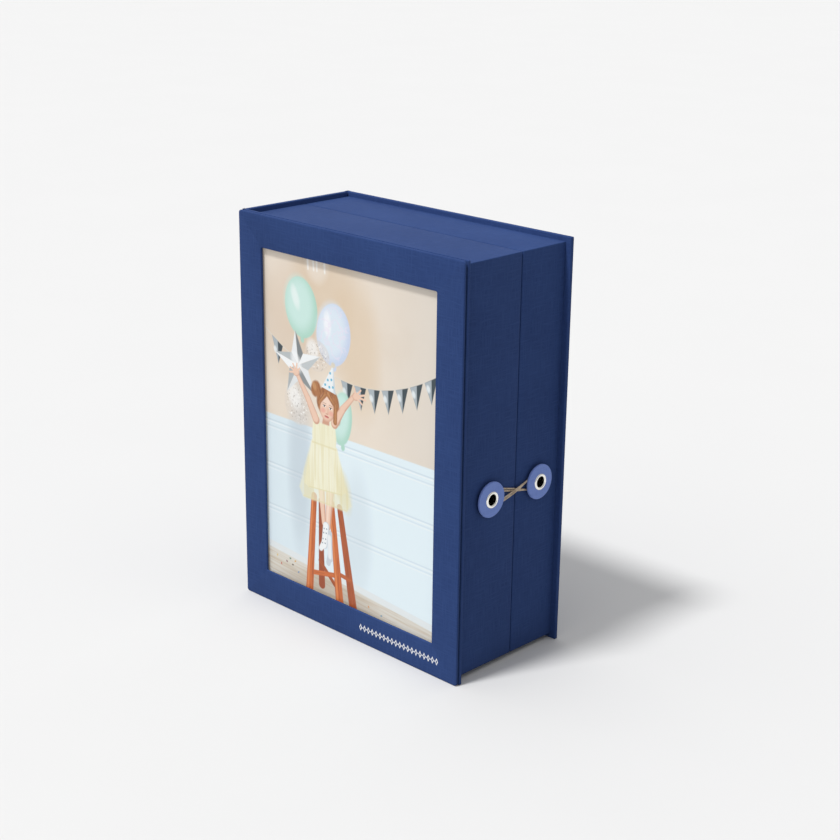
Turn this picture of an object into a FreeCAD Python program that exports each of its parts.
"""Cloth-covered clamshell photo box with a window in its front cover, standing like a book.

The box is 194 mm tall, for prints of 127 x 178 mm.  Its front faces -Y, its fore edge +X and
its spine -X.
The origin is the middle of its footprint on the shelf, +Z is up, and all sizes are in mm.
A front cover and a rear cover each carry a tray.  The trays meet rim to rim, a spine joins
the covers through two cloth hinges, and a cord wound round two buttons holds the box shut.
"""
import FreeCAD, Part
import math
import os
import re
from FreeCAD import Vector

SIZES = [
    ("print_width", 127.0, "the photo prints that the box is made for"),
    ("print_height", 178.0, "the photo prints that the box is made for"),
    ("print_thickness", 0.25, "the print shown in the window"),
    ("side_room", 7.8, "tray wider inside than its prints"),
    ("head_room", 7.2, "tray taller inside than its prints"),
    ("front_tray_depth", 35.7, "front tray, back of its base to its rim"),
    ("rear_tray_depth", 28.3, "rear tray, back of its base to its rim"),
    ("seam_gap", 0.4, "air between the two rims"),
    ("cloth", 0.3, "thickness of the book cloth"),
    ("cover_board", 1.5, "rear cover and spine boards"),
    ("front_board", 1.0, "each of the two boards of the front cover"),
    ("pocket_gap", 0.5, "slot between the two layers of the front cover"),
    ("window_margin", 15.6, "width of the frame round the window"),
    ("frame_corner", 1.5, "rounding of the frame's four corners"),
    ("turn_in", 12.0, "cloth turned in behind a cover"),
    ("frame_turn_in", 5.0, "cloth turned in behind the frame"),
    ("head_square", 2.3, "covers standing past the trays at head and tail"),
    ("fore_square", 3.0, "covers standing past the trays at the fore edge"),
    ("tray_clearance", 0.3, "air between a tray and the spine"),
    ("hinge_inset", 0.6, "hinge axis from the two outer faces that meet there"),
    ("hinge_end", 0.9, "end of a cover from the spine's outer face"),
    ("hinge_gap", 0.3, "spine's end from the cover beside it"),
    ("tray_board", 1.5, "boards of the tray walls"),
    ("base_board", 1.5, "boards of the tray bases"),
    ("lining", 0.2, "paper lining of the tray bases"),
    ("print_clearance", 0.5, "air round the print in its pocket"),
    ("pocket_inset", 2.5, "pocket spacer from the cover's edges"),
    ("button_height", 83.5, "button centres above the shelf"),
    ("disc_radius", 8.25, "cloth-covered button disc"),
    ("disc_thickness", 1.2, "cloth-covered button disc"),
    ("cord_room", 0.4, "gap between disc and wall, past the cord's thickness"),
    ("eyelet_bore", 2.5, "radius of the hole through an eyelet"),
    ("eyelet_wall", 0.3, "thickness of an eyelet's barrel"),
    ("flange_radius", 3.9, "both ends of an eyelet"),
    ("flange_thickness", 0.4, "both ends of an eyelet"),
    ("spacer_radius", 3.2, "washer that holds the disc off the wall"),
    ("washer_radius", 5.0, "washer inside the tray"),
    ("washer_thickness", 0.3, "washer inside the tray"),
    ("barrel_clearance", 0.05, "air round an eyelet's barrel"),
    ("cord_radius", 0.4, "waxed tie cord"),
    ("cord_clearance", 0.1, "air between the cord's turns"),
]

LAYOUT = [
    ("edge_round", "2 * cloth"),
    ("wall", "tray_board + 2 * cloth"),
    ("front_cover_thickness", "4 * cloth + 2 * front_board + pocket_gap"),
    ("rear_cover_thickness", "2 * cloth + cover_board"),
    ("spine_thickness", "2 * cloth + cover_board"),
    ("tray_width", "print_width + side_room + 2 * wall"),
    ("tray_height", "print_height + head_room + 2 * wall"),
    ("cover_width", "spine_thickness + tray_clearance + tray_width + fore_square"),
    ("cover_height", "tray_height + 2 * head_square"),
    ("tray_depths", "front_tray_depth + seam_gap + rear_tray_depth"),
    ("box_depth", "front_cover_thickness + tray_depths + rear_cover_thickness"),
    ("spine_outer", "-cover_width / 2"),
    ("fore_outer", "cover_width / 2"),
    ("front_outer", "-box_depth / 2"),
    ("rear_outer", "box_depth / 2"),
    ("frame_back", "front_outer + 2 * cloth + front_board"),
    ("backing_front", "frame_back + pocket_gap"),
    ("front_inner", "front_outer + front_cover_thickness"),
    ("rear_inner", "rear_outer - rear_cover_thickness"),
    ("spine_inner", "spine_outer + spine_thickness"),
    ("cover_end", "spine_outer + hinge_end"),
    ("cover_reach", "cover_width - hinge_end"),
    ("spine_front", "front_inner + hinge_gap"),
    ("spine_rear", "rear_inner - hinge_gap"),
    ("spine_width", "spine_rear - spine_front"),
    ("tray_left", "spine_inner + tray_clearance"),
    ("tray_right", "fore_outer - fore_square"),
    ("tray_bottom", "head_square"),
    ("window_width", "cover_width - 2 * window_margin"),
    ("window_height", "cover_height - 2 * window_margin"),
    ("print_left", "-print_width / 2"),
    ("print_bottom", "(cover_height - print_height) / 2"),
    ("front_button", "front_inner + front_tray_depth / 2"),
    ("rear_button", "rear_inner - rear_tray_depth / 2"),
    ("disc_gap", "2 * cord_radius + cord_room"),
    ("barrel_radius", "eyelet_bore + eyelet_wall"),
    ("barrel_hole", "barrel_radius + barrel_clearance"),
    ("flange_round", "flange_thickness * 5 / 8"),
]

doc = FreeCAD.newDocument("photo_box")
home = {}
for title, rows in (("Sizes", SIZES), ("Layout", LAYOUT)):
    for row in rows:
        home[row[0]] = title + "." + row[0]


def bound(text):
    """The expression with each size's name led by the sheet that holds it."""
    return re.sub(r"[a-z]\w*", lambda word: home.get(word[0], word[0]), text)


def fill_sheet(title, rows):
    """A spreadsheet with a name, a value or formula and a note in each row."""
    sheet = doc.addObject("Spreadsheet::Sheet", title)
    for number, row in enumerate(rows, 1):
        value = str(row[1]) if title == "Sizes" else "=" + bound(row[1])
        sheet.set("A%d" % number, row[0])
        sheet.set("B%d" % number, value)
        sheet.setAlias("B%d" % number, row[0])
        if len(row) > 2:
            sheet.set("C%d" % number, row[2])
    doc.recompute()
    return sheet


sheets = {"Sizes": fill_sheet("Sizes", SIZES), "Layout": fill_sheet("Layout", LAYOUT)}


def size(name):
    """A size or a place as a number, for what is built from curves."""
    return float(getattr(sheets[home[name].split(".")[0]], name))


nodes = []


def node(piece):
    """Marks a finished sub-part, which is written under its label."""
    nodes.append(piece)
    return piece


# Shapes that the pieces are made from


def place(feature, starts):
    for axis, start in zip("xyz", starts):
        feature.setExpression("Placement.Base." + axis, bound(start))


def box(name, x, y, z, kind="Part::Box", owner=doc):
    """A block; x, y and z are each a start and a length."""
    make = owner.addObject if owner is doc else owner.newObject
    block = make(kind, name)
    for side, span in zip(("Length", "Width", "Height"), (x, y, z)):
        block.setExpression(side, bound(span[1]))
    place(block, (x[0], y[0], z[0]))
    block.Label = name
    return block


def rod(name, radius, start, length, y, kind="Part::Cylinder", owner=doc):
    """A round bar along X through a button's centre."""
    make = owner.addObject if owner is doc else owner.newObject
    bar = make(kind, name)
    bar.Placement = FreeCAD.Placement(Vector(), FreeCAD.Rotation(Vector(0, 1, 0), 90))
    bar.setExpression("Radius", bound(radius))
    bar.setExpression("Height", bound(length))
    place(bar, (start, y, "button_height"))
    bar.Label = name
    return bar


def cut(name, base, *tools):
    """The base with the tools taken out of it."""
    left = base
    for number, tool in enumerate(tools, 1):
        step = doc.addObject("Part::Cut", "%s_cut_%d" % (name, number))
        step.Base = left
        step.Tool = tool
        left = step
    left.Label = name
    return left


def fuse(name, *pieces):
    whole = doc.addObject("Part::MultiFuse", name)
    whole.Shapes = list(pieces)
    whole.Refine = True
    whole.Label = name
    return whole


def lies_on(edge, axis, level):
    """True where the whole edge lies at that level of the axis."""
    return all(abs(getattr(v.Point, axis) - level) < 0.001 for v in edge.Vertexes)


def runs_along(edge, axis):
    low, high = edge.Vertexes[0].Point, edge.Vertexes[-1].Point
    span = high - low
    return abs(abs(getattr(span, axis)) - span.Length) < 0.001


def rounded(body, name, radius, wanted):
    """Rounds the edges of the body's last feature that wanted() accepts."""
    doc.recompute()
    base = body.Tip
    chosen = ["Edge%d" % n for n, edge in enumerate(base.Shape.Edges, 1) if wanted(edge)]
    fillet = body.newObject("PartDesign::Fillet", name)
    fillet.Base = (base, chosen)
    fillet.setExpression("Radius", bound(radius))
    return body


def form(name, x, y, z, wanted):
    """A block with soft edges: the outside of a board with its cloth on."""
    body = doc.addObject("PartDesign::Body", name)
    box(name + "_block", x, y, z, "PartDesign::AdditiveBox", body)
    return rounded(body, name + "_round", "edge_round", wanted)


# Front cover: a window frame glued over a backing board, with a slot for the print between

HEIGHT = ("0", "cover_height")
BOARD_HEIGHT = ("cloth", "cover_height - 2 * cloth")


def frame_form(name, inset, depth):
    """The frame's outline as a slab with rounded corners, drawn in by the inset."""
    body = doc.addObject("PartDesign::Body", name)
    box(
        name + "_block",
        ("spine_outer + " + inset, "cover_width - 2 * " + inset),
        ("front_outer + " + inset, depth),
        (inset, "cover_height - 2 * " + inset),
        "PartDesign::AdditiveBox",
        body,
    )
    rounded(body, name + "_corners", "frame_corner - " + inset, lambda edge: runs_along(edge, "y"))
    return body


def window(name, growth, start, depth):
    """The window's opening, grown on all four sides."""
    return box(
        name,
        ("-window_width / 2 - " + growth, "window_width + 2 * " + growth),
        (start, depth),
        ("window_margin - " + growth, "window_height + 2 * " + growth),
    )


def build_frame():
    """A board with a window, wrapped in cloth that is turned in behind it on all sides."""
    thickness = "frame_back - front_outer"
    faces = size("front_outer"), size("frame_back")
    slab = frame_form("frame_board_slab", "cloth", "front_board")
    board = cut("window_frame_board", slab, window("board_window", "cloth", "front_outer", thickness))
    outside = frame_form("frame_outside", "0", thickness)
    on_a_face = lambda edge: lies_on(edge, "y", faces[0]) or lies_on(edge, "y", faces[1])
    rounded(outside, "frame_outside_edges", "edge_round", on_a_face)
    blank = box(
        "frame_channel_outer",
        ("spine_outer + frame_turn_in", "cover_width - 2 * frame_turn_in"),
        ("frame_back - cloth", "cloth"),
        ("frame_turn_in", "cover_height - 2 * frame_turn_in"),
    )
    middle = window("frame_channel_inner", "frame_turn_in", "frame_back - cloth", "cloth")
    channel = cut("frame_channel", blank, middle)
    opening = window("frame_window", "0", "front_outer", thickness)
    node(board)
    node(cut("window_frame_cloth", outside, opening, board, channel))


def build_pocket():
    """A card spacer open at the fore edge, where the print slides in, and the print."""
    blank = box(
        "pocket_blank",
        ("spine_outer + pocket_inset", "cover_width - 2 * pocket_inset"),
        ("frame_back", "pocket_gap"),
        ("pocket_inset", "cover_height - 2 * pocket_inset"),
    )
    room = box(
        "pocket_room",
        ("print_left - print_clearance", "fore_outer - print_left"),
        ("frame_back", "pocket_gap"),
        ("print_bottom - print_clearance", "print_height + 2 * print_clearance"),
    )
    node(cut("pocket_spacer", blank, room))
    node(
        box(
            "photo_print",
            ("print_left", "print_width"),
            ("backing_front - print_thickness", "print_thickness"),
            ("print_bottom", "print_height"),
        )
    )


def build_cover(prefix, start, thickness, board, inner):
    """A cover board wrapped in cloth, which is turned in round the edges of its inner side."""
    end = size("cover_end")
    off_the_hinge = lambda edge: not lies_on(edge, "x", end)
    across = ("cover_end", "cover_reach")
    outside = form(prefix + "_outside", across, (start, thickness), HEIGHT, off_the_hinge)
    board_across = ("cover_end + cloth", "cover_reach - 2 * cloth")
    core = node(box(prefix + "_board", board_across, (start + " + cloth", board), BOARD_HEIGHT))
    bare = box(
        prefix + "_bare",
        ("cover_end + turn_in", "cover_reach - 2 * turn_in"),
        (inner, "cloth"),
        ("turn_in", "cover_height - 2 * turn_in"),
    )
    node(cut(prefix + "_cloth", outside, core, bare))


# Spine and the two cloth hinges


def build_spine():
    """A board wrapped in cloth, with a lining strip between the turn-ins on its inner side."""
    ends = size("spine_front"), size("spine_rear")
    off_the_hinges = lambda edge: not (lies_on(edge, "y", ends[0]) or lies_on(edge, "y", ends[1]))
    across = ("spine_front", "spine_width")
    outside = form("spine_outside", ("spine_outer", "spine_thickness"), across, HEIGHT, off_the_hinges)
    board_across = ("spine_front + cloth", "spine_width - 2 * cloth")
    core = box("spine_board", ("spine_outer + cloth", "cover_board"), board_across, BOARD_HEIGHT)
    lining_height = ("turn_in", "cover_height - 2 * turn_in")
    lining = box("spine_lining", ("spine_inner - cloth", "cloth"), board_across, lining_height)
    node(core)
    node(lining)
    node(cut("spine_cloth", outside, core, lining))


def build_hinge(prefix, corner, side_start, side_length):
    """A strip of cloth bent round the box's corner, from the spine's end to the cover's end."""
    side = box(prefix + "_side", ("spine_outer", "cloth"), (side_start, side_length), HEIGHT)
    face = box(prefix + "_face", ("spine_outer", "hinge_end"), (corner, "cloth"), HEIGHT)
    node(fuse(prefix + "_cloth", side, face))


# Trays


def build_tray(prefix, back, depth, toward, button):
    """An open tray: a base and four walls of board, covered in cloth inside and out."""

    def slab(offset, thickness):
        """A start and a length along Y, counted from the back of the base towards the rim."""
        start = "%s + %s" % (back, offset) if toward > 0 else "%s - (%s) - (%s)" % (back, offset, thickness)
        return start, thickness

    board_rise = slab("0", depth + " - cloth")
    full_x = ("tray_left + cloth", "tray_width - 2 * cloth")
    side_z = ("tray_bottom + cloth + tray_board", "tray_height - 2 * cloth - 2 * tray_board")
    head_z = ("tray_bottom + tray_height - cloth - tray_board", "tray_board")
    fore_x = ("tray_right - cloth - tray_board", "tray_board")
    hole = rod(prefix + "_hole", "barrel_hole", "tray_right - 2 * wall", "3 * wall", button)
    head = box(prefix + "_head_wall", full_x, board_rise, head_z)
    tail = box(prefix + "_tail_wall", full_x, board_rise, ("tray_bottom + cloth", "tray_board"))
    inner = box(prefix + "_spine_wall", ("tray_left + cloth", "tray_board"), board_rise, side_z)
    blank = box(prefix + "_fore_blank", fore_x, board_rise, side_z)
    outer = cut(prefix + "_fore_wall", blank, hole)
    base = box(
        prefix + "_base",
        ("tray_left + cloth + tray_board", "tray_width - 2 * cloth - 2 * tray_board"),
        slab("0", "base_board"),
        side_z,
    )
    lining = box(
        prefix + "_lining",
        ("tray_left + wall", "tray_width - 2 * wall"),
        slab("base_board", "lining"),
        ("tray_bottom + wall", "tray_height - 2 * wall"),
    )
    well = box(
        prefix + "_well",
        ("tray_left + wall", "tray_width - 2 * wall"),
        slab("base_board", depth + " - base_board"),
        ("tray_bottom + wall", "tray_height - 2 * wall"),
    )
    glued = size(back)
    outside = form(
        prefix + "_outside",
        ("tray_left", "tray_width"),
        slab("0", depth),
        ("tray_bottom", "tray_height"),
        lambda edge: not lies_on(edge, "y", glued),
    )
    for board in (base, head, tail, outer, inner, lining):
        node(board)
    node(cut(prefix + "_cloth", outside, head, tail, inner, blank, base, well, hole))


# Buttons of the string closure


def build_ring(name, radius, start, thickness, button, edge=None):
    """A flat ring round an eyelet's barrel, its outer edges rounded where edge gives a radius."""
    body = doc.addObject("PartDesign::Body", name)
    rod(name + "_blank", radius, start, thickness, button, "PartDesign::AdditiveCylinder", body)
    if edge:
        rounded(body, name + "_edges", edge, lambda line: len(line.Vertexes) == 1)
    rod(name + "_hole", "barrel_hole", start, thickness, button, "PartDesign::SubtractiveCylinder", body)
    return node(body)


def build_eyelet(name, inner_end, barrel_length, button):
    """A metal tube with a flange at each end, which clamps disc, spacer, wall and washer."""
    body = doc.addObject("PartDesign::Body", name)
    additive, subtractive = "PartDesign::AdditiveCylinder", "PartDesign::SubtractiveCylinder"
    outer_end = "%s + %s" % (inner_end, barrel_length)
    length = "%s + 2 * flange_thickness" % barrel_length
    tail = "%s - flange_thickness" % inner_end
    rod(name + "_inner_flange", "flange_radius", tail, "flange_thickness", button, additive, body)
    rod(name + "_barrel", "barrel_radius", tail, length, button, additive, body)
    rod(name + "_outer_flange", "flange_radius", outer_end, "flange_thickness", button, additive, body)
    rim = size("flange_radius")
    lips = size("tray_right") + size("disc_gap") + size("disc_thickness") + size("flange_thickness")
    tails = size("tray_right") - size("wall") - size("washer_thickness") - size("flange_thickness")
    rounded(
        body,
        name + "_rims",
        "flange_round",
        lambda edge: len(edge.Vertexes) == 1
        and abs(edge.Curve.Radius - rim) < 0.001
        and (lies_on(edge, "x", lips) or lies_on(edge, "x", tails)),
    )
    rod(name + "_bore", "eyelet_bore", tail, length, button, subtractive, body)
    return node(body)


def build_button(prefix, button):
    """A disc held off the tray's fore wall by a spacer, and riveted to it by a hollow eyelet."""
    disc_back, washer_back = "tray_right + disc_gap", "tray_right - wall - washer_thickness"
    stack = "(wall + washer_thickness + disc_gap + disc_thickness)"
    build_ring(prefix + "_disc", "disc_radius", disc_back, "disc_thickness", button, "disc_thickness / 4")
    build_ring(prefix + "_spacer", "spacer_radius", "tray_right", "disc_gap", button)
    build_ring(prefix + "_washer", "washer_radius", washer_back, "washer_thickness", button)
    build_eyelet(prefix + "_eyelet", washer_back, stack, button)


# Tie cord: from the front button, wound twice in a figure of eight round both buttons


def touch(centre, radius, point, side):
    """Where a line from a point touches a circle; side is +1 anticlockwise of the point, or -1."""
    gap = point - centre
    lean = math.acos(radius / gap.Length)
    angle = math.atan2(gap.z, gap.y) + side * lean
    return centre + Vector(0, math.cos(angle), math.sin(angle)) * radius


def arc_round(centre, radius, start, end, turn):
    """An arc round the centre from start to end; turn is +1 from +Y towards +Z, or -1."""
    first = math.atan2(start.z - centre.z, start.y - centre.y)
    last = math.atan2(end.z - centre.z, end.y - centre.y)
    sweep = (last - first) * turn % (2 * math.pi)
    middle = first + turn * sweep / 2
    bend = centre + Vector(0, math.cos(middle), math.sin(middle)) * radius
    return Part.Arc(start, bend, end).toShape()


def eased(points):
    """Straight runs through the points, each corner an arc as large as its two runs allow."""
    edges, last = [], points[0]
    for before, corner, after in zip(points, points[1:], points[2:]):
        back, ahead = before - corner, after - corner
        half = (math.pi - back.getAngle(ahead)) / 2
        reach = 0.45 * min(back.Length, ahead.Length)
        radius = reach / math.tan(half)
        back.normalize()
        ahead.normalize()
        enter, leave = corner + back * reach, corner + ahead * reach
        inward = back + ahead
        inward.normalize()
        middle = corner + inward * (radius / math.cos(half) - radius)
        edges += [Part.LineSegment(last, enter).toShape(), Part.Arc(enter, middle, leave).toShape()]
        last = leave
    return edges + [Part.LineSegment(last, points[-1]).toShape()]


def cord_path():
    """The cord's centreline, edge by edge."""
    thick = 2 * size("cord_radius")
    pitch = thick + size("cord_clearance")
    low = size("tray_right") + size("cord_clearance") + size("cord_radius")
    high = low + pitch
    height = size("button_height")
    front = Vector(low, size("front_button"), height)
    rear = Vector(low, size("rear_button"), height)
    middle = (front + rear) / 2
    first = size("spacer_radius") + size("cord_radius") + size("cord_clearance")
    rings = [first, first + pitch, first + 2 * pitch]
    slope = math.asin(2 * rings[1] / (rear - front).Length)
    half = 4 * pitch

    def crossing(fall, shift, level):
        """The two ends of a strand's stretch where they cross; fall is -1 where it drops to the rear."""
        along = Vector(0, math.cos(slope), fall * math.sin(slope))
        across = Vector(0, -along.z, along.y)
        centre = Vector(level, middle.y, middle.z) + across * shift * pitch / 2
        return centre - along * half, centre + along * half

    def strand(start_ring, end_ring, fall, shift, level, to_rear):
        """One strand between the buttons, with its touching points on both rings."""
        near, far = crossing(fall, shift, level)
        leave = touch(front, start_ring, Vector(low, near.y, near.z), -fall)
        land = touch(rear, end_ring, Vector(low, far.y, far.z), -fall)
        foot = leave + (Vector(low, near.y, near.z) - leave) * 0.5
        toe = land + (Vector(low, far.y, far.z) - land) * 0.5
        route = [leave, foot, near, far, toe, land] if level > low else [leave, near, far, land]
        return route if to_rear else route[::-1]

    strands = [
        strand(rings[0], rings[0], -1, -1, low, True),
        strand(rings[1], rings[0], 1, -1, high, False),
        strand(rings[1], rings[1], -1, 1, low, True),
        strand(rings[2], rings[1], 1, 1, high, False),
    ]
    start = front + Vector(0, -rings[0], 0)
    finish = front + Vector(0, -rings[2], 0)
    edges = [arc_round(front, rings[0], start, strands[0][0], -1)]
    for number, route in enumerate(strands):
        edges += eased(route)
        if number == len(strands) - 1:
            edges.append(arc_round(front, rings[2], route[-1], finish, -1))
        elif number % 2 == 0:
            edges.append(arc_round(rear, rings[number // 2], route[-1], strands[number + 1][0], 1))
        else:
            edges.append(arc_round(front, rings[number // 2 + 1], route[-1], strands[number + 1][0], -1))
    return edges


def build_cord():
    """The cord as one tube along its whole route."""
    edges = cord_path()
    path = Part.Wire(edges)
    start = path.Edges[0]
    heading = start.tangentAt(start.FirstParameter)
    section = Part.Circle(start.valueAt(start.FirstParameter), heading, size("cord_radius"))
    tube = path.makePipeShell([Part.Wire([section.toShape()])], True, False)
    cord = doc.addObject("Part::Feature", "tie_cord")
    cord.Shape = tube
    cord.Label = "tie_cord"
    expected = math.pi * size("cord_radius") ** 2 * path.Length
    radii = sorted({round(edge.Curve.Radius, 1) for edge in edges if hasattr(edge.Curve, "Radius")})
    print("cord: %.1f mm long, volume %.2f of %.2f, radii %s" % (path.Length, tube.Volume, expected, radii))
    node(cord)


build_frame()
build_pocket()
build_cover("front_cover", "backing_front", "front_inner - backing_front", "front_board", "front_inner - cloth")
build_cover("rear_cover", "rear_inner", "rear_cover_thickness", "cover_board", "rear_inner")
build_spine()
build_hinge("front_hinge", "backing_front", "backing_front", "spine_front - backing_front")
build_hinge("rear_hinge", "rear_outer - cloth", "spine_rear", "rear_outer - spine_rear")
build_tray("front_tray", "front_inner", "front_tray_depth", 1, "front_button")
build_tray("rear_tray", "rear_inner", "rear_tray_depth", -1, "rear_button")
build_button("front_button", "front_button")
build_button("rear_button", "rear_button")
doc.recompute()
build_cord()
doc.recompute()

broken = [item.Name for item in doc.Objects if {"Invalid", "Error"} & set(item.State)]
assert not broken, "failed: %s" % broken
os.makedirs("parts", exist_ok=True)
for piece in nodes:
    shape = piece.Shape
    assert not shape.isNull() and shape.isValid(), piece.Label
    assert len(shape.Solids) == 1, "%s has %d solids" % (piece.Label, len(shape.Solids))
    shape.exportStep("parts/%s.step" % piece.Label)
print("%d nodes" % len(nodes))
